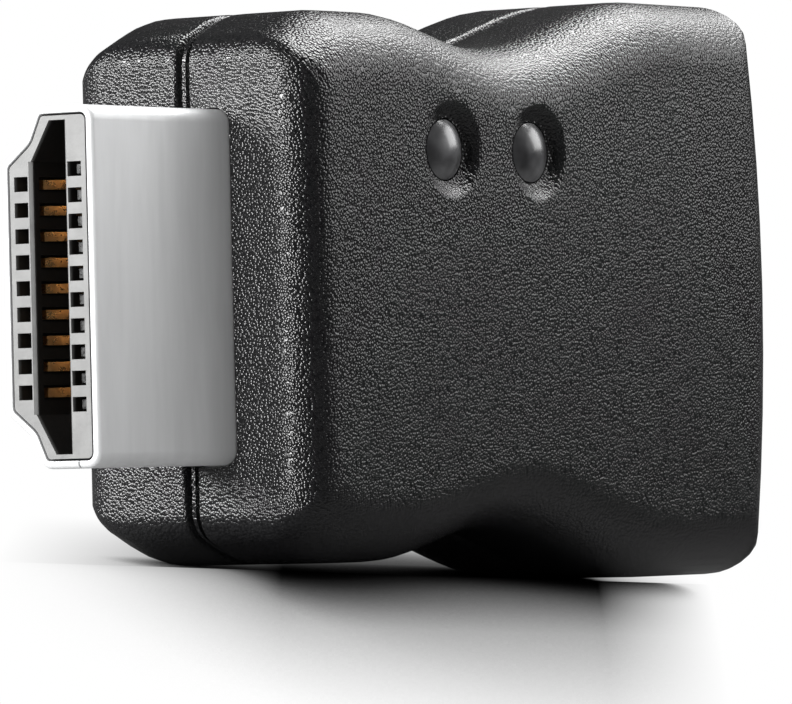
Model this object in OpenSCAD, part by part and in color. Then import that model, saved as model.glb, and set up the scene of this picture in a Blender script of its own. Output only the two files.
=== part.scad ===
// Display emulator: a moulded dongle with a 19-contact video plug, standing on its narrow side.
// X runs along the plug axis from plug to tail, Y through the thickness, Z up.

/* [Housing] */
// Length of the moulded housing, without the plug
body_len = 33.8; // [32:0.2:40]
// Depth of the lamp side from the parting plane
front_depth = 6.0; // [5.6:0.1:8]
// Depth of the back side from the parting plane
back_depth = 5.8; // [5.6:0.1:8]
// Wall thickness of both covers
wall = 1.4; // [1.2:0.1:1.6]
// Half height of the nose face, before its corner is rounded
nose_half = 9.6; // [9.4:0.1:10]
// Rise of the sloped edge behind the nose, per millimetre of length
nose_slope = 0.48; // [0.4:0.02:0.6]
// Half height of the front crest
crest_half = 10.9; // [10.6:0.1:11.4]
// Where the front crest starts to fall into the waist
crest_end = 6.8; // [6:0.2:8]
// Distance from the nose face to the narrowest place
waist_x = 14.6; // [13:0.2:16]
// Half height at the waist
waist_half = 9.7; // [9.4:0.1:10.4]
// Where the tail reaches its full height
tail_start = 26.4; // [25:0.2:28]
// Half height of the tail
tail_half = 11.95; // [11.5:0.05:13]
// How far the tail end bows out
tail_bow = 1.3; // [0.4:0.1:2]

/* [Housing edges] */
// Radius of the outline corner at the nose
nose_corner = 1.3; // [0.8:0.1:1.6]
// Radius of the outline corner at the tail
tail_corner = 1.2; // [0.8:0.1:2]
// Fillet round the nose face
nose_fillet = 1.8; // [1.2:0.1:2.4]
// Fillet along the narrow sides
side_fillet = 2.8; // [2:0.1:3.4]
// Fillet round the tail end
tail_fillet = 2.2; // [1.6:0.1:2.8]
// Length over which the sloped edge blends into the crest
crest_blend = 0.22; // [0.15:0.01:0.4]
// Chamfer on the two edges of the parting groove
parting_chamfer = 0.12; // [0.08:0.01:0.16]

/* [Parting line] */
// Width of the groove between the covers
seam_w = 0.6; // [0.5:0.05:0.8]
// Width of the bead that shows in the groove
bead_w = 0.15; // [0.12:0.01:0.25]
// How far the bead stays below the surface
bead_drop = 0.18; // [0.05:0.01:0.25]
// Depth of the groove
seam_depth = 0.45; // [0.4:0.05:0.5]
// Thickness of the locating lip
lip_t = 0.4; // [0.3:0.05:0.45]
// How far the lip reaches past the parting plane
lip_reach = 0.9; // [0.7:0.1:1.2]
// Clearance round the lip
lip_gap = 0.05; // [0.03:0.01:0.1]

/* [Plug shell] */
// Length of plug that stands out of the housing
plug_len = 8.7; // [8:0.1:10]
// Width over the plug's wide face
plug_w = 13.9; // [13.8:0.05:14]
// Thickness of the plug
plug_t = 4.45; // [4.4:0.05:4.5]
// Width of the plug's narrow face, at its sharp corners
plug_narrow = 9.66; // [9.4:0.02:9.8]
// Width at the bend of the shoulder
shoulder_w = 11.5; // [11.2:0.1:11.7]
// Distance from the wide face to the end of the plug's side
side_t = 2.72; // [2.6:0.02:2.9]
// Distance from the wide face to the bend of the shoulder
shoulder_t = 3.28; // [3.2:0.02:3.4]
// Thickness of the shell's steel
shell_t = 0.3; // [0.25:0.01:0.35]
// How far the shell reaches into the housing
shell_tail = 4.2; // [4:0.1:4.6]
// Width of the folded sheet's closing slit
fold_slit = 0.08; // [0.05:0.01:0.12]
// Distance from the wide face to the slit, on the lower side
slit_y = 0.95; // [0.8:0.05:1.2]
// Clearance between the shell and the housing
shell_fit = 0.06; // [0.03:0.01:0.1]
// Height of the retaining ears above the shell
ear_h = 1.2; // [0.8:0.1:1.5]
// Width of the retaining ears
ear_w = 1.6; // [1:0.1:2]
// Length of the board legs behind the shell
leg_len = 2.6; // [2:0.1:3]
// Width of the board legs
leg_w = 1.2; // [1:0.1:1.4]

/* [Plug insert] */
// Clearance between the insert and the shell
insert_fit = 0.08; // [0.05:0.01:0.1]
// How far the insert's face lies behind the shell's rim
insert_set = 0.05; // [0.02:0.01:0.15]
// Length of the insert behind the nose face
insert_tail = 2.0; // [1.6:0.1:2.4]
// Opening of the slot that takes the socket's tongue
slot_t = 1.6; // [1.5:0.05:1.7]
// Length of the slot on its wide side
slot_w = 12.8; // [12.6:0.1:12.9]
// Length of the slot on its narrow side
slot_narrow = 9.7; // [9.5:0.1:9.9]
// Distance from the slot's wide side to its shoulder
slot_shoulder = 0.68; // [0.6:0.02:0.8]
// Lead-in chamfer along the slot's long edges
slot_chamfer = 0.12; // [0.08:0.01:0.16]
// Depth of the slot
slot_depth = 7.1; // [6.6:0.1:7.2]
// Size of a contact window along the row
window_w = 0.57; // [0.5:0.01:0.6]
// Size of a contact window across the row
window_t = 0.66; // [0.6:0.01:0.68]
// Thickness of the wall in front of the open channel
window_wall = 0.5; // [0.4:0.05:0.6]
// Distance of the window rows from the plug's mid-plane
row_y = 1.3; // [1.28:0.01:1.32]

/* [Contacts] */
// Spacing of the contacts in a row
pitch = 1.0; // [0.96:0.01:1.02]
// Number of contacts on the wide side
wide_count = 10; // [10:1:10]
// Width of a contact
contact_w = 0.36; // [0.3:0.01:0.38]
// Thickness of a contact
contact_t = 0.2; // [0.16:0.01:0.22]
// How far a contact stands into the slot
contact_bulge = 0.15; // [0.1:0.01:0.2]
// Depth of the contact tips behind the insert's face, on the wide side
wide_tip = 0.3; // [0.2:0.05:0.4]
// Depth of the contact tips behind the insert's face, on the narrow side
narrow_tip = 0.9; // [0.7:0.05:1]
// Length of the soldered tail on the board
tail_len = 1.6; // [1.2:0.1:2]

/* [Board] */
// Thickness of the circuit board
board_t = 1.0; // [0.8:0.1:1.2]
// Length of the circuit board
board_len = 25; // [23:0.5:26]
// Half height of the circuit board
board_half = 7.4; // [7.2:0.1:7.6]
// Thickness of the ribs that clamp the board
rib_t = 1.0; // [0.8:0.1:1.4]
// Diameter of the locating pins
pin_d = 1.3; // [1.1:0.1:1.5]
// Clearance round a locating pin
pin_gap = 0.1; // [0.05:0.01:0.15]
// Distance of the locating pins from the covers' inner wall
pin_inset = 0.4; // [0.35:0.05:0.5]
// Distance from the nose face to the front pins
front_pin_x = 6.2; // [6:0.1:6.6]
// Diameter of the bosses that carry the pins
boss_d = 2.8; // [2.6:0.1:3]

/* [Chips and small parts] */
// Memory chip: body length, thickness and width
memory_size = [4.9, 1.4, 3.9];
// Memory chip: distance from the board's front edge and height above the plug axis
memory_place = [9.2, -2.2];
// Spacing and span of the memory chip's legs
memory_legs = [1.27, 6];
// Controller chip: body length, thickness and width
controller_size = [6.5, 1.0, 4.4];
// Controller chip: distance from the board's front edge and height above the plug axis
controller_place = [15.2, 0];
// Spacing and span of the controller chip's legs
controller_legs = [0.65, 6.4];
// Voltage regulator: body length, thickness and width
regulator_size = [2.9, 1.1, 1.6];
// Voltage regulator: distance from the board's front edge and height above the plug axis
regulator_place = [22.2, 3.2];
// Spacing and span of the voltage regulator's legs
regulator_legs = [1.9, 2.8];
// Crystal: length, thickness and width
crystal_size = [2.5, 0.7, 3.2];
// Crystal: distance from the board's front edge and height above the plug axis
crystal_place = [8.7, 0];
// A resistor's width, thickness and length
resistor_size = [0.8, 0.45, 1.6];
// Distance of the signal resistors from the board's front edge
signal_resistor_x = 4.5; // [4:0.1:5]
// Height of the three signal resistors above the plug axis
signal_resistor_z = [-3.4, -0.8, 1.8];
// Distance of the lamp resistors from the board's front edge
lamp_resistor_x = [15.3, 17.5];
// A small capacitor's width, thickness and length
capacitor_size = [0.8, 0.8, 1.6];
// Supply capacitor: length, thickness and width
supply_size = [2.0, 1.2, 1.25];
// Supply capacitor: distance from the board's front edge and height above the plug axis
supply_place = [22.2, -1.2];
// Chip capacitor: distance from the board's front edge and height above the plug axis
chip_capacitor_place = [19.9, -4.2];
// Crystal capacitors: distance from the board's front edge and from the plug axis
crystal_capacitor_place = [6.1, 1.6];

/* [Lamps] */
// Diameter of the lamp's lens
lamp_d = 2.4; // [2.2:0.1:2.6]
// Height of the lens dome
dome_h = 0.4; // [0.35:0.05:0.7]
// Diameter of the lamp's base flange
flange_d = 2.9; // [2.8:0.1:3.1]
// Diameter of the dished recess at the surface
recess_d = 4.1; // [3.9:0.1:4.5]
// Depth of the dished recess
recess_depth = 0.45; // [0.4:0.05:0.7]
// Clearance round the lens
lamp_gap = 0.06; // [0.03:0.01:0.1]
// Distance from the nose face to the first lamp
lamp_x = 9.9; // [9:0.1:10.4]
// Spacing of the two lamps
lamp_pitch = 6.0; // [5.6:0.1:6.4]
// Height of the lamps above the plug axis
lamp_z = 5.4; // [5:0.1:5.6]
// Thickness of a lamp lead
lead_t = 0.4; // [0.3:0.05:0.5]
// Spacing of the lamp leads
lead_pitch = 1.27; // [1.2:0.01:1.4]

/* [Hidden] */
$fn = 48;
CONTACT_NAMES = [for (i = [1 : 19]) str("contact_", i < 10 ? "0" : "", i)];

arc_steps = 6;
corner_steps = 7;
side_steps = 36;
end_steps = 4;
dish_steps = 12;
// Crowds the outline's points towards the nose, where it bends most
side_crowding = 1.2;
// Distance between the two middle points of the tail end
end_gap = 0.5;
fillet_steps = 9;
least_corner = 0.3;
overlap = 0.2;
half_seam = seam_w / 2;
half_bead = bead_w / 2;
slope_angle = atan(nose_slope);
board_x = shell_tail + 0.1;
contact_line = row_y - 0.05;
// Puts the part on the floor with its box centred over the origin
stand = [-(body_len - plug_len) / 2, (front_depth - back_depth) / 2, tail_half];

function clamp01(t) = min(max(t, 0), 1);
function ease(t) = (1 - cos(180 * clamp01(t))) / 2;
function mix(a, b, t) = a + (b - a) * t;
function unit(v) = v / norm(v);
function soft_min(a, b, k) = -k * ln(exp(-a / k) + exp(-b / k));

// Half height of the crests and the waist at a distance from the nose
function crest_line(x) = x < waist_x
    ? mix(crest_half, waist_half, ease((x - crest_end) / (waist_x - crest_end)))
    : mix(tail_half, waist_half, ease((tail_start - x) / (tail_start - waist_x)));
function half_height(x) = soft_min(nose_half + nose_slope * x, crest_line(x), crest_blend);

// Upper half of the outline, inset by n at the nose, s at the sides and t at the tail.
// Each point is [x, z, share of side fillet, share of tail fillet].
function upper_half(n, s, t) =
    let (nr = max(nose_corner - s, least_corner), tr = max(tail_corner - s, least_corner),
        zn = nose_half - s - nr * (1 - sin(slope_angle)) / cos(slope_angle),
        x0 = n + nr - nr * cos(90 - slope_angle), x1 = body_len - t - tr,
        zt = half_height(x1) - s)
    concat(
        [for (i = [0 : corner_steps]) let (t = i / corner_steps, a = (90 - slope_angle) * t)
            [n + nr - nr * cos(a), zn + nr * sin(a) + nose_slope * n * t, t, 0]],
        [for (i = [1 : side_steps]) let (x = mix(x0, x1, pow(i / side_steps, side_crowding)))
            [x, half_height(x) - s, 1, 0]],
        [for (i = [1 : corner_steps]) let (t = i / corner_steps, a = 90 - 90 * t)
            [x1 + tr * cos(a), zt - tr + tr * sin(a), 1 - t, t]],
        [for (i = [1 : end_steps]) [x1 + tr, mix(zt - tr, end_gap / 2, i / end_steps), 0, 1]]);
// Bows the tail end outward
function bowed(p) = [p[0] - tail_bow * pow(p[1] / tail_half, 2)
    * pow(clamp01((p[0] - waist_x) / (body_len - waist_x)), 3), p[1], p[2], p[3]];
function outline(n, s, t) = let (u = [for (p = upper_half(n, s, t)) bowed(p)], k = len(u) - 1)
    concat(u, [for (i = [0 : k]) [u[k - i][0], -u[k - i][1], u[k - i][2], u[k - i][3]]]);
function flat(points) = [for (p = points) [p[0], p[1]]];
function inset_outline(d) = flat(outline(d, d, d));

// Extrudes an XZ profile from y0 to y1
module slab(y0, y1) {
    translate([0, y1, 0]) rotate([90, 0, 0]) linear_extrude(y1 - y0) children();
}
// Extrudes a YZ profile from x0 to x1
module bar(x0, x1) {
    translate([x0, 0, 0]) rotate([90, 0, 90]) linear_extrude(x1 - x0) children();
}
module rod(x, z, y0, y1, d) {
    translate([x, y1, z]) rotate([90, 0, 0]) cylinder(h = y1 - y0, d = d);
}

// Solid outer form of one cover: the chamfered outline at the parting line, then rings that
// follow a quarter round to the broad face. side is -1 for the lamp side, 1 for the back.
module cover_form(depth, side) {
    n = len(outline(0, 0, 0));
    rings = fillet_steps + 3;
    chamfer_rings = [for (k = [0, 1]) let (d = (1 - k) * parting_chamfer)
        for (p = outline(d, d, d)) [p[0], side * (half_seam + k * parting_chamfer), p[1]]];
    fillet_rings = [for (k = [0 : fillet_steps])
        let (a = 90 * k / fillet_steps, c = 1 - cos(a))
        for (p = outline(nose_fillet * c, side_fillet * c, tail_fillet * c))
            let (r = mix(mix(nose_fillet, tail_fillet, p[3]), side_fillet, p[2]))
            [p[0], side * (depth - r + r * sin(a)), p[1]]];
    ring_points = concat(chamfer_rings, fillet_rings);
    bands = [for (k = [0 : rings - 2], i = [0 : n - 1])
        let (a = k * n + i, b = k * n + (i + 1) % n)
        side < 0 ? [a, b, b + n, a + n] : [a, a + n, b + n, b]];
    last = (rings - 1) * n;
    caps = [for (i = [0 : n / 2 - 2]) let (j = n - 1 - i)
        side < 0 ? [i, j, j - 1, i + 1] : [i, i + 1, j - 1, j]];
    ends = [for (i = [0 : n / 2 - 2]) let (j = n - 1 - i)
        side < 0 ? [last + i, last + i + 1, last + j - 1, last + j]
                 : [last + i, last + j, last + j - 1, last + i + 1]];
    polyhedron(ring_points, concat(bands, caps, ends), convexity = 8);
}
module outline_slab(d, y0, y1) {
    slab(y0, y1) polygon(inset_outline(d));
}
module outline_ring(outer, inner, y0, y1) {
    difference() {
        outline_slab(outer, y0, y1);
        outline_slab(inner, y0 - overlap, y1 + overlap);
    }
}

// Sharp corners of the plug's profile and the radius at each, counter-clockwise
plug_y = plug_t / 2;
PLUG_CORNERS = [[-plug_y, plug_w / 2], [-plug_y, -plug_w / 2],
    [side_t - plug_y, -plug_w / 2], [shoulder_t - plug_y, -shoulder_w / 2],
    [plug_y, -plug_narrow / 2], [plug_y, plug_narrow / 2],
    [shoulder_t - plug_y, shoulder_w / 2], [side_t - plug_y, plug_w / 2]];
PLUG_RADII = [0.6, 0.6, 0.5, -0.7, 0.6, 0.6, -0.7, 0.5];
// Moves every edge of a counter-clockwise profile inward by d
function inset_corners(c, d) = [for (i = [0 : len(c) - 1])
    let (n = len(c), e1 = unit(c[i] - c[(i + n - 1) % n]), e2 = unit(c[(i + 1) % n] - c[i]),
        n1 = [-e1[1], e1[0]], n2 = [-e2[1], e2[0]])
    c[i] + d * (n1 + n2) / (1 + n1 * n2)];
// Rounds each corner; a negative radius marks a hollow corner, which grows as the profile shrinks.
// An arc uses at most its share of the edges beside it.
edge_share = 0.48;
least_arc = 0.15;
function rounded(c, radii, d) = [for (i = [0 : len(c) - 1])
    let (n = len(c), e = c[(i + n - 1) % n] - c[i], f = c[(i + 1) % n] - c[i], u = unit(e), v = unit(f),
        h = acos(u * v) / 2, wish = radii[i] > 0 ? max(radii[i] - d, least_arc) : d - radii[i],
        t = min(wish / tan(h), edge_share * norm(e), edge_share * norm(f)), r = t * tan(h),
        m = c[i] + unit(u + v) * r / sin(h), a = c[i] + u * t - m, b = c[i] + v * t - m)
    for (k = [0 : arc_steps]) m + r * unit(mix(a, b, k / arc_steps))];
module plug_profile(d) {
    polygon(rounded(inset_corners(PLUG_CORNERS, d), PLUG_RADII, d));
}

// Opening for the plug, with the slots that hold its ears
nose_wall = wall;
ear_x = nose_wall + 0.1;
module plug_space() {
    bar(-overlap, shell_tail + overlap) plug_profile(-shell_fit);
}
module ear_boxes(grow) {
    for (s = [-1, 1]) mirror([0, 0, s < 0 ? 1 : 0])
        translate([ear_x - grow, -ear_w / 2 - grow, plug_w / 2 - shell_t])
            cube([shell_t + 2 * grow, ear_w + 2 * grow, shell_t + ear_h + grow]);
}

// Places of the locating pins, just inside the covers' wall
PIN_PLACES = [for (s = [-1, 1], x = [front_pin_x, tail_start])
    [x, s * (half_height(x) - wall - pin_inset)]];
RIB_X = [lamp_x + (lamp_pitch - rib_t) / 2, board_x + board_len - 6];
// What both covers hold inside: nose partition, ribs onto the board and pin bosses.
// floor_y is the depth of the cavity floor, side its direction.
module inner_works(floor_y, side) {
    partition_x = ear_x + shell_t + 0.1;
    intersection() {
        outline_slab(wall - overlap / 2, -front_depth + wall / 2, back_depth - wall / 2);
        union() {
            side_box(partition_x, rib_t, side * (floor_y + overlap), side * half_seam, nose_half + 1);
            for (x = RIB_X, s = [-1, 1])
                translate([0, 0, s * (board_half + 1)])
                    side_box(x, rib_t, side * (floor_y + overlap), side * board_t / 2, 2.6);
            for (p = PIN_PLACES)
                rod_between(p, side * (floor_y + overlap), 0, boss_d);
        }
    }
}
module side_box(x, t, ya, yb, half) {
    translate([x, min(ya, yb), -half]) cube([t, abs(yb - ya), 2 * half]);
}
module rod_between(p, ya, yb, d) {
    rod(p[0], p[1], min(ya, yb), max(ya, yb), d);
}

module front_cover() color("#2b2c2e") translate(stand) difference() {
    union() {
        difference() {
            cover_form(front_depth, -1);
            outline_slab(wall, -front_depth + wall, overlap);
            outline_slab(seam_depth - lip_gap, -lip_reach - lip_gap, overlap);
        }
        inner_works(front_depth - wall, -1);
        for (p = PIN_PLACES) rod_between(p, -overlap, lip_reach + 1, pin_d);
    }
    plug_space();
    ear_boxes(0.1);
    for (i = [0, 1]) lamp_hole(lamp_x + i * lamp_pitch);
}
module back_cover() color("#2b2c2e") translate(stand) difference() {
    union() {
        difference() {
            union() {
                cover_form(back_depth, 1);
                outline_ring(seam_depth, seam_depth + lip_t, -lip_reach, half_seam + overlap);
                outline_ring(bead_drop, seam_depth + lip_t / 2, -half_bead, half_bead);
            }
            outline_slab(wall, -overlap, back_depth - wall);
        }
        inner_works(back_depth - wall, 1);
    }
    plug_space();
    ear_boxes(0.1);
    for (p = PIN_PLACES) rod_between(p, -overlap, lip_reach + 1.3, pin_d + 2 * pin_gap);
}
// Dished recess and the hole for the lens
module lamp_hole(x) {
    rim_r = recess_d / 2;
    hole_r = lamp_d / 2 + lamp_gap;
    wave = [for (i = [0 : dish_steps]) let (t = i / dish_steps)
        [mix(rim_r, hole_r, t), -recess_depth * ease(t)]];
    translate([x, -front_depth, lamp_z]) rotate([90, 0, 0]) {
        rotate_extrude() polygon(concat([[0, overlap], [rim_r, overlap]], wave, [[0, -recess_depth]]));
        translate([0, 0, -wall - 1]) cylinder(h = wall + 1, r = hole_r);
    }
}

module plug_shell() color("#c9cbcd") translate(stand) {
    difference() {
        union() {
            bar(-plug_len, shell_tail) plug_profile(0);
            ear_boxes(0);
        }
        bar(-plug_len - overlap, shell_tail + overlap) plug_profile(shell_t);
        translate([-plug_len - overlap, slit_y - plug_y, -plug_w / 2 - overlap])
            cube([plug_len + shell_tail + 2 * overlap, fold_slit, shell_t + 2 * overlap]);
    }
    for (s = [-1, 1]) mirror([0, 0, s < 0 ? 1 : 0])
        translate([shell_tail - overlap, -leg_w / 2, plug_w / 2 - shell_t])
            cube([leg_len + overlap, leg_w, shell_t]);
}

shoulder_y = slot_shoulder - slot_t / 2;
SLOT_CORNERS = [[-slot_t / 2, slot_w / 2], [-slot_t / 2, -slot_w / 2], [shoulder_y, -slot_w / 2],
    [slot_t / 2, -slot_narrow / 2], [slot_t / 2, slot_narrow / 2], [shoulder_y, slot_w / 2]];
// Each contact is [side, height]; odd ones lie on the wide side, as on the real plug
CONTACTS = [for (i = [0 : 18]) i % 2 == 0
    ? [-1, pitch * (wide_count - 1) / 2 - pitch * i / 2]
    : [1, pitch * (wide_count - 2) / 2 - pitch * (i - 1) / 2]];
insert_x = -plug_len + insert_set;
module plug_insert() color("#d8d8d6") translate(stand) difference() {
    bar(insert_x, insert_tail) plug_profile(shell_t + insert_fit);
    bar(insert_x - overlap, insert_x + slot_depth) polygon(SLOT_CORNERS);
    slot_lead_in(-slot_t / 2, slot_w);
    slot_lead_in(slot_t / 2, slot_narrow);
    for (c = CONTACTS) contact_channel(c);
}
// Cuts a chamfer along one long edge of the slot
module slot_lead_in(y, length) {
    translate([insert_x, y, -length / 2]) rotate([0, 0, 45])
        translate([-slot_chamfer / sqrt(2), -slot_chamfer / sqrt(2), 0])
            cube([sqrt(2) * slot_chamfer, sqrt(2) * slot_chamfer, length]);
}
module contact_channel(c) {
    far = row_y + window_t / 2;
    hole_y = contact_line - contact_t / 2;
    translate([0, 0, c[1] - window_w / 2]) mirror([0, c[0] < 0 ? 1 : 0, 0]) {
        translate([insert_x - overlap, row_y - window_t / 2, 0])
            cube([window_wall + 2 * overlap, window_t, window_w]);
        translate([insert_x + window_wall, slot_t / 2 - overlap, 0])
            cube([slot_depth - window_wall, far - slot_t / 2 + overlap, window_w]);
        translate([insert_x, hole_y, (window_w - contact_w) / 2])
            cube([insert_tail - insert_x + overlap, contact_t, contact_w]);
    }
}

// One bent contact: tip in its window, bulge into the slot, straight run through the
// insert's rear wall, and a tail that lies on the board
module contact(c) {
    tip = insert_x + (c[0] < 0 ? wide_tip : narrow_tip);
    bulge_y = slot_t / 2 - contact_bulge + contact_t / 2;
    tail_y = board_t / 2 + contact_t / 2;
    line = [[tip, row_y], [tip + 0.4, row_y], [insert_x + 2.1, bulge_y], [insert_x + 2.5, bulge_y],
        [insert_x + 4.4, contact_line], [insert_tail + 0.3, contact_line],
        [board_x + 0.1, tail_y], [board_x + 0.3 + tail_len, tail_y]];
    color("#b08d57") translate(stand)
        translate([0, 0, c[1] - contact_w / 2]) mirror([0, c[0] < 0 ? 1 : 0, 0])
            linear_extrude(contact_w) polygon(strip(line, contact_t / 2));
}
// Outline of a strip of half thickness h along a line of points
function strip(line, h) = let (k = len(line) - 1,
    side = [for (i = [0 : k]) let (
        e1 = unit(line[max(i, 1)] - line[max(i, 1) - 1]),
        e2 = unit(line[min(i, k - 1) + 1] - line[min(i, k - 1)]),
        n1 = [-e1[1], e1[0]], n2 = [-e2[1], e2[0]])
        h * (n1 + n2) / (1 + n1 * n2)])
    concat([for (i = [0 : k]) line[i] + side[i]], [for (i = [0 : k]) line[k - i] - side[k - i]]);

module circuit_board() color("#1f5c3a") translate(stand) difference() {
    slab(-board_t / 2, board_t / 2) difference() {
        translate([board_x, -board_half]) square([board_len, 2 * board_half]);
        for (s = [-1, 1]) translate([board_x - overlap, s > 0 ? plug_w / 2 - shell_t - 0.05 : -board_half - overlap])
            square([leg_len + overlap, board_half - plug_w / 2 + shell_t + 0.05 + overlap]);
    }
    for (i = [0, 1], s = [-1, 1])
        rod(lamp_x + i * lamp_pitch + s * lead_pitch / 2, lamp_z, -board_t, board_t, lead_t + 0.2);
}

// A chip with its row of legs, lying on the board. side is -1 on the lamp side.
leg_w_chip = 0.4;
leg_rise = 0.1;
module chip(place, size, side, legs, leg_row) {
    translate([board_x + place[0], side * board_t / 2, place[1]]) mirror([0, side < 0 ? 1 : 0, 0]) {
        translate([-size[0] / 2, leg_rise, -size[2] / 2]) cube(size);
        for (i = [0 : legs - 1], s = [-1, 1])
            translate([(i - (legs - 1) / 2) * leg_row[0], 0, 0]) mirror([0, 0, s < 0 ? 1 : 0])
                translate([-leg_w_chip / 2, 0, 0]) rotate([90, 0, 90]) linear_extrude(leg_w_chip)
                    polygon(gull(size[2] / 2, leg_row[1] / 2, size[1] / 2));
    }
}
// Side view of a gull-wing leg, as [height above the board, distance from the middle]
function gull(start, reach, h) = [[h - 0.1, start - 0.1], [h - 0.1, start + 0.15], [0, reach - 0.5],
    [0, reach], [0.18, reach], [0.18, reach - 0.4], [h + 0.1, start + 0.3], [h + 0.1, start - 0.1]];
// A two-terminal part lying on the board
module block(place, size, side) {
    translate([board_x + place[0] - size[0] / 2, side < 0 ? -board_t / 2 - size[1] : board_t / 2,
        place[1] - size[2] / 2]) cube(size);
}
module signal_resistor(i) color("#26262a") translate(stand)
    block([signal_resistor_x, signal_resistor_z[i]], resistor_size, -1);
module lamp_resistor(i) color("#26262a") translate(stand)
    block([lamp_resistor_x[i], lamp_z], resistor_size, -1);
module capacitor(place, size) color("#a58a62") translate(stand) block(place, size, 1);
module memory_chip() color("#1c1c1e") translate(stand)
    chip(memory_place, memory_size, -1, 4, memory_legs);
module controller_chip() color("#1c1c1e") translate(stand)
    chip(controller_place, controller_size, 1, 8, controller_legs);
module voltage_regulator() color("#1c1c1e") translate(stand)
    chip(regulator_place, regulator_size, 1, 2, regulator_legs);
module crystal() color("#b9bcc0") translate(stand) block(crystal_place, crystal_size, 1);
module crystal_capacitor(side)
    capacitor([crystal_capacitor_place[0], side * crystal_capacitor_place[1]], capacitor_size);

// A clear lamp with a shallow dome, its base flange resting on the leads' shoulders
flange_t = 0.5;
flange_rise = 2;
module lamp(i) {
    dome_r = (pow(lamp_d / 2, 2) + pow(dome_h, 2)) / (2 * dome_h);
    dome_y = -front_depth + recess_depth;
    flange_y = -board_t / 2 - flange_rise;
    color("#d6d9dc", 0.8) translate(stand) translate([lamp_x + i * lamp_pitch, 0, lamp_z]) {
        rod(0, 0, dome_y, flange_y, lamp_d);
        rod(0, 0, flange_y - flange_t, flange_y, flange_d);
        intersection() {
            translate([0, dome_y - dome_h + dome_r, 0]) sphere(r = dome_r);
            rod(0, 0, dome_y - dome_h - overlap, dome_y + overlap, lamp_d);
        }
    }
}
module lamp_leads(i) {
    flange_y = -board_t / 2 - flange_rise;
    color("#b9bcc0") translate(stand)
        for (s = [-1, 1])
            translate([lamp_x + i * lamp_pitch + s * lead_pitch / 2 - lead_t / 2, flange_y, lamp_z - lead_t / 2])
                cube([lead_t, board_t / 2 - flange_y + 0.4, lead_t]);
}

front_cover();
back_cover();
plug_shell();
plug_insert();
for (i = [0 : 18]) contact(CONTACTS[i]);
circuit_board();
memory_chip();
controller_chip();
voltage_regulator();
crystal();
signal_resistor(0);  // hot_plug_resistor
signal_resistor(1);  // clock_resistor
signal_resistor(2);  // data_resistor
lamp_resistor(0);  // lamp_resistor_1
lamp_resistor(1);  // lamp_resistor_2
capacitor(supply_place, supply_size);  // supply_capacitor
capacitor(chip_capacitor_place, capacitor_size);  // chip_capacitor
crystal_capacitor(1);  // crystal_capacitor_1
crystal_capacitor(-1);  // crystal_capacitor_2
lamp(0);  // lamp_1
lamp(1);  // lamp_2
lamp_leads(0);  // lamp_1_leads
lamp_leads(1);  // lamp_2_leads
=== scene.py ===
import bpy
import math
import numpy as np
from mathutils import Matrix, Vector


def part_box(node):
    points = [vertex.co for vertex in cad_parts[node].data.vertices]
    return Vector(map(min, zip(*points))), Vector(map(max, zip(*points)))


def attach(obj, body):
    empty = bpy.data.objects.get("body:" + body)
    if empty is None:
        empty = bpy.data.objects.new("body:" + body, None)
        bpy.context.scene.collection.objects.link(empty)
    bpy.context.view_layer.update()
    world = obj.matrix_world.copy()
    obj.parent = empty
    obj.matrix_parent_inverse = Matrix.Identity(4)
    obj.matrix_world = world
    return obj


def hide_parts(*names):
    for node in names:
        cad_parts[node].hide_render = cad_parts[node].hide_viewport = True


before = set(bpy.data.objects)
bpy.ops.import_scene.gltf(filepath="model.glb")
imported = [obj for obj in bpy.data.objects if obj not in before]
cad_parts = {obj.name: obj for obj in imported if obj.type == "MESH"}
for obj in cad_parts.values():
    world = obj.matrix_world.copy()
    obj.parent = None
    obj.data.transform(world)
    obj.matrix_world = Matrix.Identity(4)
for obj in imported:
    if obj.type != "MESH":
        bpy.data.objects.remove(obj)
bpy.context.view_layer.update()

# Plug insert
# The light plastic moulding inside the plug, with its slot and 19 windows.
# It is injection moulded in glass-filled nylon and pressed into the shell.
mm = 0.001
face_low = (0.15, 0.15, 0.148)
face_high = (0.19, 0.19, 0.187)
window_painted_shade = (0.012, 0.011, 0.010)
weld_distance = 0.002 * mm
plug_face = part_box("plug_insert")[0][0]


def new_material(name, colour, rough, metallic=0.0):
    """A Principled material with this plain colour and roughness, over which a pattern may be
    linked. Returns the material, its node tree and the shader node."""
    material = bpy.data.materials.new(name)
    material.use_nodes = True
    tree = material.node_tree
    shader = tree.nodes["Principled BSDF"]
    shader.inputs["Base Color"].default_value = (*colour, 1.0)
    shader.inputs["Roughness"].default_value = rough
    shader.inputs["Metallic"].default_value = metallic
    shader.inputs["IOR"].default_value = 1.55
    return material, tree, shader


def place_in(tree, stretch=(1.0, 1.0, 1.0)):
    """Object coordinates multiplied by a factor on each axis."""
    coords = tree.nodes.new("ShaderNodeTexCoord")
    mapping = tree.nodes.new("ShaderNodeMapping")
    mapping.inputs["Scale"].default_value = stretch
    tree.links.new(coords.outputs["Object"], mapping.inputs["Vector"])
    return mapping.outputs["Vector"]


def noise(tree, place, feature, detail=2.0):
    """Fractal noise between 0 and 1 whose features are about this many metres across."""
    node = tree.nodes.new("ShaderNodeTexNoise")
    node.inputs["Scale"].default_value = 1.0 / feature
    node.inputs["Detail"].default_value = detail
    node.inputs["Roughness"].default_value = 0.5
    tree.links.new(place, node.inputs["Vector"])
    return node.outputs["Fac"]


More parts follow.
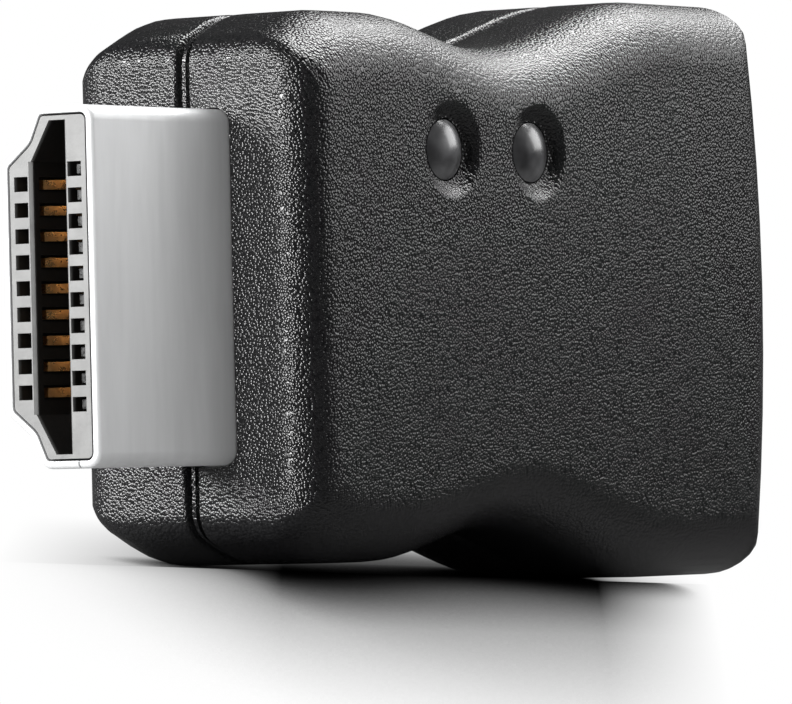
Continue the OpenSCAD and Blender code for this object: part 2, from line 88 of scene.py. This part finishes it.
def ramp(tree, value, low, high):
    """Colour that runs from low to high as value passes from 0.3 to 0.7."""
    node = tree.nodes.new("ShaderNodeValToRGB")
    for stop, position, colour in zip(node.color_ramp.elements, (0.3, 0.7), (low, high)):
        stop.position = position
        stop.color = (*colour, 1.0)
    tree.links.new(value, node.inputs["Fac"])
    return node.outputs["Color"]


def spread(tree, value, low, high, start=0.3, end=0.7):
    """Number that runs from low to high as value passes from start to end."""
    node = tree.nodes.new("ShaderNodeMapRange")
    for socket, number in (("From Min", start), ("From Max", end), ("To Min", low), ("To Max", high)):
        node.inputs[socket].default_value = number
    tree.links.new(value, node.inputs["Value"])
    return node.outputs["Result"]


def depth_share(tree, shallow, deep):
    """Nought up to the shallow depth behind the plug's face, and one from the deep one on."""
    split = tree.nodes.new("ShaderNodeSeparateXYZ")
    tree.links.new(place_in(tree), split.inputs["Vector"])
    return spread(tree, split.outputs["X"], 0.0, 1.0, plug_face + shallow, plug_face + deep)


def mix_colours(tree, share):
    """Mix of two colours by share; returns the sockets of the first, the second and the mix."""
    node = tree.nodes.new("ShaderNodeMix")
    node.data_type = "RGBA"
    tree.links.new(share, node.inputs["Factor"])
    return node.inputs[6], node.inputs[7], node.outputs[2]


def bump(tree, shader, height, depth):
    """Bump whose height field from 0 to 1 stands this many metres high."""
    node = tree.nodes.new("ShaderNodeBump")
    node.inputs["Strength"].default_value = 1.0
    node.inputs["Distance"].default_value = depth
    tree.links.new(height, node.inputs["Height"])
    tree.links.new(node.outputs["Normal"], shader.inputs["Normal"])


def smooth_group(angle):
    """Geometry nodes: vertices closer than the weld distance merge, every face turns smooth, and
    an edge stays sharp where its two faces meet at more than the angle in degrees."""
    group = bpy.data.node_groups.new("smooth_rounds", "GeometryNodeTree")
    group.interface.new_socket("Geometry", in_out="INPUT", socket_type="NodeSocketGeometry")
    group.interface.new_socket("Geometry", in_out="OUTPUT", socket_type="NodeSocketGeometry")
    start = group.nodes.new("NodeGroupInput")
    end = group.nodes.new("NodeGroupOutput")
    merge = group.nodes.new("GeometryNodeMergeByDistance")
    merge.inputs["Distance"].default_value = weld_distance
    faces = group.nodes.new("GeometryNodeSetShadeSmooth")
    faces.domain = "FACE"
    edges = group.nodes.new("GeometryNodeSetShadeSmooth")
    edges.domain = "EDGE"
    edges.inputs["Shade Smooth"].default_value = False
    turn = group.nodes.new("GeometryNodeInputMeshEdgeAngle")
    sharp = group.nodes.new("FunctionNodeCompare")
    sharp.data_type = "FLOAT"
    sharp.operation = "GREATER_THAN"
    sharp.inputs[1].default_value = math.radians(angle)
    group.links.new(start.outputs[0], merge.inputs["Geometry"])
    group.links.new(merge.outputs["Geometry"], faces.inputs["Geometry"])
    group.links.new(faces.outputs["Geometry"], edges.inputs["Geometry"])
    group.links.new(turn.outputs["Unsigned Angle"], sharp.inputs[0])
    group.links.new(sharp.outputs["Result"], edges.inputs["Selection"])
    group.links.new(edges.outputs["Geometry"], end.inputs[0])
    return group


smooth_rounds = smooth_group(angle=28)


def dress(node_name, material, rounds=smooth_rounds):
    """Gives a CAD node this material and shades its rounds smoothly."""
    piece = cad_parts[node_name]
    piece.data.materials.clear()
    piece.data.materials.append(material)
    smooth = piece.modifiers.new("smooth", "NODES")
    smooth.node_group = rounds
    even = piece.modifiers.new("even", "WEIGHTED_NORMAL")
    even.keep_sharp = True


insert_plastic, tree, shader = new_material("insert_plastic", face_low, rough=0.42)
place = place_in(tree)
# Behind the face, the slot and windows darken with depth to painted shade, near black.
face, hollow, mixed = mix_colours(tree, depth_share(tree, shallow=0.06 * mm, deep=0.22 * mm))
tree.links.new(ramp(tree, noise(tree, place, feature=0.8 * mm, detail=3), face_low, face_high), face)
hollow.default_value = (*window_painted_shade, 1.0)
tree.links.new(mixed, shader.inputs["Base Color"])
rough = spread(tree, noise(tree, place, feature=0.2 * mm), low=0.36, high=0.5)
tree.links.new(rough, shader.inputs["Roughness"])
bump(tree, shader, noise(tree, place, feature=0.1 * mm), depth=0.004 * mm)
dress("plug_insert", insert_plastic)

# Contacts
# Nineteen spring contacts, stamped from phosphor bronze strip and plated with gold.
# Each sits in its own channel and is soldered to the board behind.
tip_grey = (0.10, 0.10, 0.10)
gold_low = (0.46, 0.27, 0.12)
gold_high = (0.70, 0.44, 0.20)
contact_gold, tree, shader = new_material("contact_gold", (0.6, 0.37, 0.15), rough=0.3, metallic=1.0)
place = place_in(tree, stretch=(0.2, 1.0, 1.0))
tip, plating, mixed = mix_colours(tree, depth_share(tree, shallow=0.8 * mm, deep=1.2 * mm))
tip.default_value = (*tip_grey, 1.0)
tree.links.new(ramp(tree, noise(tree, place, feature=0.5 * mm, detail=3), gold_low, gold_high), plating)
tree.links.new(mixed, shader.inputs["Base Color"])
rough = spread(tree, noise(tree, place, feature=0.15 * mm), low=0.22, high=0.4)
tree.links.new(rough, shader.inputs["Roughness"])
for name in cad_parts:
    if name.startswith("contact_"):
        dress(name, contact_gold)

# Plug shell
# The steel sleeve round the insert, stamped and folded from sheet and nickel plated.
# Its open rim is rounded over, and its ears are trapped between the covers.
nose_x = -12.55 * mm
parting_y = 0.1 * mm
axis_z = 11.95 * mm
plug_len = 8.7 * mm
plug_w = 13.9 * mm
plug_t = 4.45 * mm
plug_narrow = 9.66 * mm
shoulder_w = 11.5 * mm
shoulder_t = 3.28 * mm
side_t = 2.72 * mm
shell_t = 0.3 * mm
shell_tail = 4.2 * mm
slit_y = 0.95 * mm
fold_slit = 0.08 * mm
ear_x = 1.5 * mm
ear_w = 1.6 * mm
ear_h = 1.2 * mm
leg_len = 2.6 * mm
leg_w = 1.2 * mm
leg_overlap = 0.2 * mm
outer_rim = 0.22 * mm
inner_rim = 0.06 * mm
rim_hold = 3
rim_steps = 8
least_radius = 0.15 * mm
half_t = plug_t / 2
half_w = plug_w / 2
plug_corners = np.array([(-half_t, half_w), (-half_t, -half_w), (side_t - half_t, -half_w),
                         (shoulder_t - half_t, -shoulder_w / 2), (half_t, -plug_narrow / 2),
                         (half_t, plug_narrow / 2), (shoulder_t - half_t, shoulder_w / 2),
                         (side_t - half_t, half_w)])
# The radius of each corner in turn. It is below nought where the corner is hollow.
plug_radii = mm * np.array([0.6, 0.6, 0.5, -0.7, 0.6, 0.6, -0.7, 0.5])


def plug_ring(inset, arc_points=9):
    """The plug's outline moved inward. A corner moves by the inset times the sum of its two edges'
    inward normals over one plus their dot product, and becomes an arc whose radius falls by the
    inset, or grows by it at a hollow corner. The points start and end beside the slit in the lower
    side, going round once."""
    before = plug_corners - np.roll(plug_corners, 1, axis=0)
    after = np.roll(plug_corners, -1, axis=0) - plug_corners
    before /= np.linalg.norm(before, axis=1)[:, None]
    after /= np.linalg.norm(after, axis=1)[:, None]
    inward_before = np.stack([-before[:, 1], before[:, 0]], axis=1)
    inward_after = np.stack([-after[:, 1], after[:, 0]], axis=1)
    alike = (inward_before * inward_after).sum(axis=1)[:, None]
    corner = plug_corners + inset * (inward_before + inward_after) / (1 + alike)
    rounded = np.maximum(plug_radii - inset, least_radius)
    radius = np.where(plug_radii < 0, inset - plug_radii, rounded)
    half_angle = np.arccos(-(before * after).sum(axis=1)) / 2
    bisector = after - before
    bisector /= np.linalg.norm(bisector, axis=1)[:, None]
    centre = corner + bisector * (radius / np.sin(half_angle))[:, None]
    reach = (radius / np.tan(half_angle))[:, None]
    arc_start = corner - before * reach - centre
    arc_end = corner + after * reach - centre
    share = np.linspace(0, 1, arc_points)[None, :, None]
    ray = arc_start[:, None] * (1 - share) + arc_end[:, None] * share
    ray /= np.linalg.norm(ray, axis=2)[:, :, None]
    points = centre[:, None] + ray * radius[:, None, None]
    ring = np.roll(points.reshape(-1, 2), -2 * arc_points, axis=0)
    low = inset - half_w
    slit = np.array([[slit_y + fold_slit - half_t, low], [slit_y - half_t, low]])
    return np.vstack([slit[:1], ring, slit[1:]])


def grid_faces(rows, columns, closed):
    """Quads between neighbouring points of a grid, row by row. If closed, the last row joins the
    first one."""
    row = np.arange(rows if closed else rows - 1)[:, None]
    column = np.arange(columns - 1)[None, :]
    next_row = (row + 1) % rows
    quads = np.stack([row * columns + column, row * columns + column + 1,
                      next_row * columns + column + 1, next_row * columns + column], axis=-1)
    return [tuple(quad) for quad in quads.reshape(-1, 4).tolist()]


def new_piece(name, points, faces, material):
    """Smooth mesh object made from points and faces, with this material."""
    mesh = bpy.data.meshes.new(name)
    mesh.from_pydata(points.tolist(), [], faces)
    mesh.shade_smooth()
    mesh.materials.append(material)
    piece = bpy.data.objects.new(name, mesh)
    bpy.context.scene.collection.objects.link(piece)
    return piece


# The wall's section runs up the outside, round the rim and back down the inside.
turns = np.radians(np.linspace(0, 90, rim_steps))
wall_x = np.concatenate([[shell_tail, rim_hold * outer_rim - plug_len],
                         outer_rim * (1 - np.sin(turns)) - plug_len,
                         inner_rim * (1 - np.cos(turns)) - plug_len,
                         [rim_hold * inner_rim - plug_len, shell_tail]])
wall_inset = np.concatenate([[0, 0], outer_rim * (1 - np.cos(turns)),
                             shell_t - inner_rim + inner_rim * np.sin(turns), [shell_t, shell_t]])
rings = np.stack([plug_ring(inset) for inset in wall_inset])
around = rings.shape[1]
wall_points = np.empty((len(wall_x), around, 3))
wall_points[..., 0] = nose_x + wall_x[:, None]
wall_points[..., 1] = parting_y + rings[..., 0]
wall_points[..., 2] = axis_z + rings[..., 1]
shell_faces = grid_faces(len(wall_x), around, closed=True)
shell_faces.append(tuple(range(0, wall_points[..., 0].size, around)))
shell_faces.append(tuple(reversed(range(around - 1, wall_points[..., 0].size, around))))

# Each ear and leg is a box from the wall's inner face outwards, with its corners listed x first.
box_faces = [(0, 2, 3, 1), (4, 5, 7, 6), (0, 1, 5, 4), (2, 6, 7, 3), (0, 4, 6, 2), (1, 3, 7, 5)]
ear = (ear_x, ear_x + shell_t, ear_w, shell_t + ear_h)
leg = (shell_tail - leg_overlap, shell_tail + leg_len, leg_w, shell_t)
shell_points = wall_points.reshape(-1, 3)
for side in (-1, 1):
    inner_face = axis_z + side * (half_w - shell_t)
    for start, end, width, height in (ear, leg):
        ends_x = (nose_x + start, nose_x + end)
        ends_y = (parting_y - width / 2, parting_y + width / 2)
        ends_z = sorted((inner_face, inner_face + side * height))
        shell_faces += [tuple(len(shell_points) + corner for corner in face) for face in box_faces]
        shell_points = np.vstack([shell_points, [(x, y, z) for z in ends_z for y in ends_y for x in ends_x]])

steel_low = (0.65, 0.655, 0.66)
steel_high = (0.71, 0.715, 0.72)
plug_steel, tree, shader = new_material("plug_steel", (0.68, 0.68, 0.685), rough=0.42, metallic=0.3)
place = place_in(tree, stretch=(1.0, 1.0, 0.15))
tree.links.new(ramp(tree, noise(tree, place, feature=0.6 * mm, detail=4), steel_low, steel_high),
               shader.inputs["Base Color"])
rough = spread(tree, noise(tree, place, feature=0.2 * mm, detail=3), low=0.38, high=0.46)
tree.links.new(rough, shader.inputs["Roughness"])
bump(tree, shader, noise(tree, place, feature=0.08 * mm), depth=0.001 * mm)
shell = new_piece("plug_sleeve", shell_points, shell_faces, plug_steel)
shell.data.set_sharp_from_angle(angle=math.radians(40))
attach(shell, "root")
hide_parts("plug_shell")

# Circuit board and what it carries
# Glass fibre board with green solder mask, and its soldered chips, resistors and capacitors.
# The covers' ribs clamp it, so almost none of it shows.
def inner_finish(name, low, high, rough, metallic=0.0):
    """A moulded, glazed or tinned finish whose colour wanders between low and high, and its
    roughness by 0.06 to either side."""
    material, tree, shader = new_material(name, high, rough, metallic)
    place = place_in(tree)
    tree.links.new(ramp(tree, noise(tree, place, feature=0.3 * mm, detail=3), low, high),
                   shader.inputs["Base Color"])
    tree.links.new(spread(tree, noise(tree, place, feature=0.15 * mm), rough - 0.06, rough + 0.06),
                   shader.inputs["Roughness"])
    bump(tree, shader, noise(tree, place, feature=0.08 * mm), depth=0.003 * mm)
    return material


dress("circuit_board", inner_finish("board", (0.012, 0.09, 0.035), (0.02, 0.13, 0.05), rough=0.35))
chip_black = inner_finish("chip_black", (0.018, 0.018, 0.020), (0.03, 0.03, 0.032), rough=0.5)
for name in ("memory_chip", "controller_chip", "voltage_regulator"):
    dress(name, chip_black)
tinned = inner_finish("tinned_metal", (0.55, 0.56, 0.57), (0.66, 0.67, 0.68), rough=0.35, metallic=1.0)
for name in ("crystal", "lamp_1_leads", "lamp_2_leads"):
    dress(name, tinned)
resistor_black = inner_finish("resistor_black", (0.02, 0.02, 0.025), (0.04, 0.04, 0.045), rough=0.25)
capacitor_tan = inner_finish("capacitor_tan", (0.36, 0.25, 0.14), (0.46, 0.33, 0.2), rough=0.45)
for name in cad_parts:
    if "resistor" in name:
        dress(name, resistor_black)
    if "capacitor" in name:
        dress(name, capacitor_tan)

# Lamps
# Two lamps cast in clear epoxy with a shallow domed lens, standing on the board.
# They are unlit, so the dark inside shows under the gloss of the dome.
lamp_clear, tree, shader = new_material("lamp_clear", (0.2, 0.2, 0.21), rough=0.2)
clouds = noise(tree, place_in(tree), feature=1.0 * mm)
tree.links.new(ramp(tree, clouds, (0.03, 0.03, 0.032), (0.12, 0.12, 0.125)), shader.inputs["Base Color"])
shader.inputs["Coat Weight"].default_value = 1.0
shader.inputs["Coat Roughness"].default_value = 0.3
for name in ("lamp_1", "lamp_2"):
    dress(name, lamp_clear)

# Covers
# The two half-shells, injection moulded in black ABS and joined at the middle.
# The mould leaves the same fine leather grain on every side.
grain_size = 0.12 * mm
grain_depth = 0.026 * mm
groove_at = 0.6
groove_painted_shade = (0.0055, 0.0055, 0.006)
pebble_black = (0.010, 0.010, 0.0105)


def combine(tree, operation, *values):
    """Result of one math operation on two values, each of them a socket or a float."""
    node = tree.nodes.new("ShaderNodeMath")
    node.operation = operation
    for socket, value in zip(node.inputs, values):
        if isinstance(value, float):
            socket.default_value = value
        else:
            tree.links.new(value, socket)
    return node.outputs[0]


cover_plastic, tree, shader = new_material("cover_plastic", (0.007, 0.007, 0.0075), rough=0.24)
place = place_in(tree)
pebbles = tree.nodes.new("ShaderNodeTexVoronoi")
pebbles.inputs["Scale"].default_value = 1.0 / grain_size
tree.links.new(place, pebbles.inputs["Vector"])
# A pebble is a dome: one less the square of the distance from its middle over groove_at.
distance_squared = combine(tree, "MULTIPLY", pebbles.outputs["Distance"], pebbles.outputs["Distance"])
grain = spread(tree, distance_squared, low=1.0, high=0.0, start=0.0, end=groove_at)
bump(tree, shader, grain, grain_depth)
# The grooves between pebbles are painted shade, a darker black than the pebbles' tops.
tree.links.new(ramp(tree, grain, groove_painted_shade, pebble_black), shader.inputs["Base Color"])
rough = spread(tree, noise(tree, place, feature=0.3 * mm), low=0.19, high=0.25)
tree.links.new(rough, shader.inputs["Roughness"])
cover_rounds = smooth_group(angle=50)
for name in ("front_cover", "back_cover"):
    dress(name, cover_plastic, cover_rounds)

# Floor and backdrop
# A sweep of white paper under the object. It slopes with the line from the front crest to the
# tail, on which the object stands, rolls down in front of it and rises behind it.
rest_slope = -0.042
back_slope = math.tan(math.radians(9))
front_slope = math.tan(math.radians(30))
slope_half = 40 * mm
level_half = 0.5 * mm
roll_ease = 2.5 * mm
settling = 0.1 * mm
cover_points = []
for name in ("front_cover", "back_cover"):
    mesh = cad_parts[name].data
    flat = np.empty(len(mesh.vertices) * 3)
    mesh.vertices.foreach_get("co", flat)
    cover_points.append(flat.reshape(-1, 3))
cover_points = np.vstack(cover_points)
rest_height = (cover_points[:, 2] - rest_slope * cover_points[:, 0]).min() - settling


def eased(reach):
    """Nought before nought, then reach squared over twice the ease up to the ease, and from there
    a straight slope of one."""
    near = np.clip(reach, 0, roll_ease)
    return near ** 2 / (2 * roll_ease) + np.maximum(reach - roll_ease, 0)


fine_steps = np.linspace(0, 30, num=91) * mm
coarse_steps = np.geomspace(31, 600, num=30) * mm
steps = np.concatenate([fine_steps, coarse_steps])
steps = np.concatenate([-steps[:0:-1], steps])
floor_x, floor_y = np.meshgrid(steps, steps, indexing="ij")
floor_z = rest_height + rest_slope * np.clip(floor_x, -slope_half, slope_half)
floor_z = floor_z + back_slope * eased(floor_y - level_half) - front_slope * eased(-floor_y - level_half)
floor_points = np.stack([floor_x, floor_y, floor_z], axis=-1).reshape(-1, 3)

# The camera sees it white and mirrors see it grey, both darkened by a painted shadow where the object is
# close over it.
closeness_reach = 14 * mm
darkening = 3.2
closed_in = 0.4
floor_in_mirror = 0.2
# Between these distances to the left and to the right of the middle, the shade fades out to white.
leftwards = (-0.586, 0.81, 0.0)
left_fade = (4 * mm, 15 * mm)
right_fade = (-9 * mm, -14 * mm)


def distance_along(tree, place, direction):
    """Dot product of a place and a direction."""
    node = tree.nodes.new("ShaderNodeVectorMath")
    node.operation = "DOT_PRODUCT"
    node.inputs[1].default_value = direction
    tree.links.new(place, node.inputs[0])
    return node.outputs["Value"]


floor_white, tree, shader = new_material("floor_white", (0.5, 0.5, 0.5), rough=0.9)
closeness = tree.nodes.new("ShaderNodeAmbientOcclusion")
closeness.inputs["Distance"].default_value = closeness_reach
openness = closeness.outputs["AO"]
shade = combine(tree, "POWER", openness, darkening)
leftward = distance_along(tree, place_in(tree), leftwards)
fade = combine(tree, "MAXIMUM", spread(tree, leftward, 0.0, 1.0, *left_fade),
               spread(tree, leftward, 0.0, 1.0, *right_fade))
fade = combine(tree, "MULTIPLY", fade, spread(tree, openness, 0.0, 1.0, start=0.0, end=closed_in))
faded = tree.nodes.new("ShaderNodeMapRange")
tree.links.new(fade, faded.inputs["Value"])
tree.links.new(shade, faded.inputs["To Min"])
faded.inputs["To Max"].default_value = 1.0
path = tree.nodes.new("ShaderNodeLightPath")
level = spread(tree, path.outputs["Is Camera Ray"], floor_in_mirror, 1.0, start=0.0, end=1.0)
glow = tree.nodes.new("ShaderNodeEmission")
tree.links.new(combine(tree, "MULTIPLY", faded.outputs["Result"], level), glow.inputs["Strength"])
surface = shader.outputs["BSDF"]
for ray in ("Is Transmission Ray", "Is Glossy Ray", "Is Camera Ray"):
    choice = tree.nodes.new("ShaderNodeMixShader")
    tree.links.new(path.outputs[ray], choice.inputs["Fac"])
    tree.links.new(surface, choice.inputs[1])
    tree.links.new(glow.outputs["Emission"], choice.inputs[2])
    surface = choice.outputs["Shader"]
tree.links.new(surface, tree.nodes["Material Output"].inputs["Surface"])
floor_white.cycles.emission_sampling = "NONE"
floor_faces = grid_faces(len(steps), len(steps), closed=False)
floor = new_piece("floor", floor_points, floor_faces, floor_white)

# World
# The camera sees it white. It lights matt surfaces most from behind the object, and mirrors
# see it nearly black, as in a dark studio.
azimuth = math.radians(-54.11)
elevation = math.radians(-1.39)
back = Vector((math.sin(azimuth) * math.cos(elevation), -math.cos(azimuth) * math.cos(elevation),
               math.sin(elevation)))
world = bpy.data.worlds.new("surround")
bpy.context.scene.world = world
world.use_nodes = True
tree = world.node_tree
background = tree.nodes["Background"]
coords = tree.nodes.new("ShaderNodeTexCoord")
facing = distance_along(tree, coords.outputs["Generated"], back)
level = spread(tree, facing, low=1.0, high=0.12, start=0.0, end=0.9)
mirrored = spread(tree, facing, low=0.06, high=0.01, start=-0.3, end=0.6)
path = tree.nodes.new("ShaderNodeLightPath")
for ray in ("Is Transmission Ray", "Is Glossy Ray", "Is Camera Ray"):
    choice = tree.nodes.new("ShaderNodeMapRange")
    tree.links.new(path.outputs[ray], choice.inputs["Value"])
    tree.links.new(level, choice.inputs["To Min"])
    choice.inputs["To Max"].default_value = 1.0
    if ray != "Is Camera Ray":
        tree.links.new(mirrored, choice.inputs["To Max"])
    level = choice.outputs["Result"]
tree.links.new(level, background.inputs["Strength"])
background.inputs["Color"].default_value = (1.0, 1.0, 1.0, 1.0)
world.cycles.sampling_method = "NONE"

# Camera
# It stands level with the object's middle, to the front and towards the plug.
# It is turned a little off the aim, so that the object sits in the frame as in the photograph.
photo_width = 792
focal_px = 8000
sensor = 36.0
roll = math.radians(-1.39)
distance = 321.3 * mm
aim = Vector((-2.55 * mm, 0.1 * mm, 11.95 * mm))
turn_right = -0.0075
turn_up = 0.00773
level_right = Vector((math.cos(azimuth), math.sin(azimuth), 0.0))
level_up = back.cross(level_right)
right = math.cos(roll) * level_right + math.sin(roll) * level_up
up = -math.sin(roll) * level_right + math.cos(roll) * level_up
view_back = (back + turn_right * right + turn_up * up).normalized()
view_right = (right - right.dot(view_back) * view_back).normalized()
view_up = view_back.cross(view_right)
camera_data = bpy.data.cameras.new("camera")
camera_data.sensor_width = sensor
camera_data.lens = sensor * focal_px / photo_width
camera_data.clip_start = 10 * mm
camera = bpy.data.objects.new("camera", camera_data)
camera.location = aim + back * distance
camera.rotation_euler = Matrix((view_right, view_up, view_back)).transposed().to_euler()
bpy.context.scene.collection.objects.link(camera)
bpy.context.scene.camera = camera

# Lights
# Soft boxes. The right ones and the overhead one draw the upper edges, the waist and the broad
# side with its lamps. The small strong ones on the left draw the plug, the nose and its edges.
middle = Vector((0.0, 0.0, 12 * mm))


def softbox(name, direction, distance, size, radiance):
    """An area light at a distance in metres from the object's middle, facing it. Its power is
    its radiance times its area times pi."""
    data = bpy.data.lights.new(name, "AREA")
    data.shape = "RECTANGLE"
    data.size = size[0]
    data.size_y = size[1]
    data.energy = radiance * size[0] * size[1] * math.pi
    light = bpy.data.objects.new(name, data)
    away = Vector(direction).normalized()
    light.location = middle + away * distance
    light.rotation_euler = away.to_track_quat("Z", "Y").to_euler()
    light.visible_camera = False
    bpy.context.scene.collection.objects.link(light)


# Each has its direction from the middle, then its distance, its size and its radiance.
softbox("high_right", (0.81, 0.02, 0.60), 0.20, (0.10, 0.10), 3.0)
softbox("overhead", (0.52, -0.12, 0.84), 0.20, (0.12, 0.12), 10.5)
softbox("right_front", (0.78, -0.50, 0.36), 0.11, (0.06, 0.05), 3.1)
softbox("right_near", (0.60, -0.75, 0.30), 0.14, (0.08, 0.06), 0.4)
softbox("left", (-0.80, 0.50, 0.30), 0.25, (0.07, 0.05), 34.0)
softbox("left_back", (-0.62, 0.75, 0.25), 0.25, (0.08, 0.07), 17.0)
softbox("left_front", (-1.0, -0.05, 0.10), 0.22, (0.05, 0.12), 31.0)

bpy.context.scene.view_settings.view_transform = "Standard"
